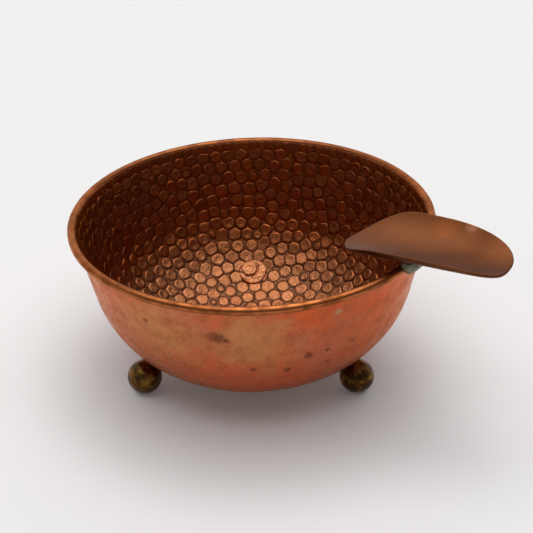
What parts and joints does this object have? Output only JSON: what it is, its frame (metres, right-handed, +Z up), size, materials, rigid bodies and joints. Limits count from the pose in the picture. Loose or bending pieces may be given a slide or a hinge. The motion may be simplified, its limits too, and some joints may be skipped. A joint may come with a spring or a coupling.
{
  "type": "hammered copper bowl",
  "caption": "Round hammered copper ash bowl with a rolled, wired rim, riveted brass ball feet and a gutter-shaped cigar rest soldered across the rim.",
  "frame": {"origin": "on the table under the bowl's centre, midway between the ball feet", "axes": "+Z up; +X from the bowl's centre along the cigar rest, over foot 1; feet 2 and 3 stand at 120 and 240 degrees"},
  "size_m": [0.1348, 0.108, 0.0585],
  "materials": {
    "bowl_copper": "hammered and tarnished copper",
    "rim_wire": "drawn iron wire, hidden in the rim",
    "foot_brass": "tarnished brass, worn smooth",
    "collar_brass": "brazed, dull brown",
    "rivet_copper": "peened copper",
    "rest_copper": "smooth, planished copper with brown tarnish",
    "soft_solder": "dull grey with verdigris"
  },
  "bodies": {
    "root": {"bowl": "bowl_copper", "rim_wire": "rim_wire", "ball_foot_1": "foot_brass", "foot_collar_1": "collar_brass", "foot_rivet_1": "rivet_copper", "ball_foot_2": "foot_brass", "foot_collar_2": "collar_brass", "foot_rivet_2": "rivet_copper", "ball_foot_3": "foot_brass", "foot_collar_3": "collar_brass", "foot_rivet_3": "rivet_copper", "cigar_rest": "rest_copper", "rest_solder": "soft_solder"}
  },
  "joints": []
}
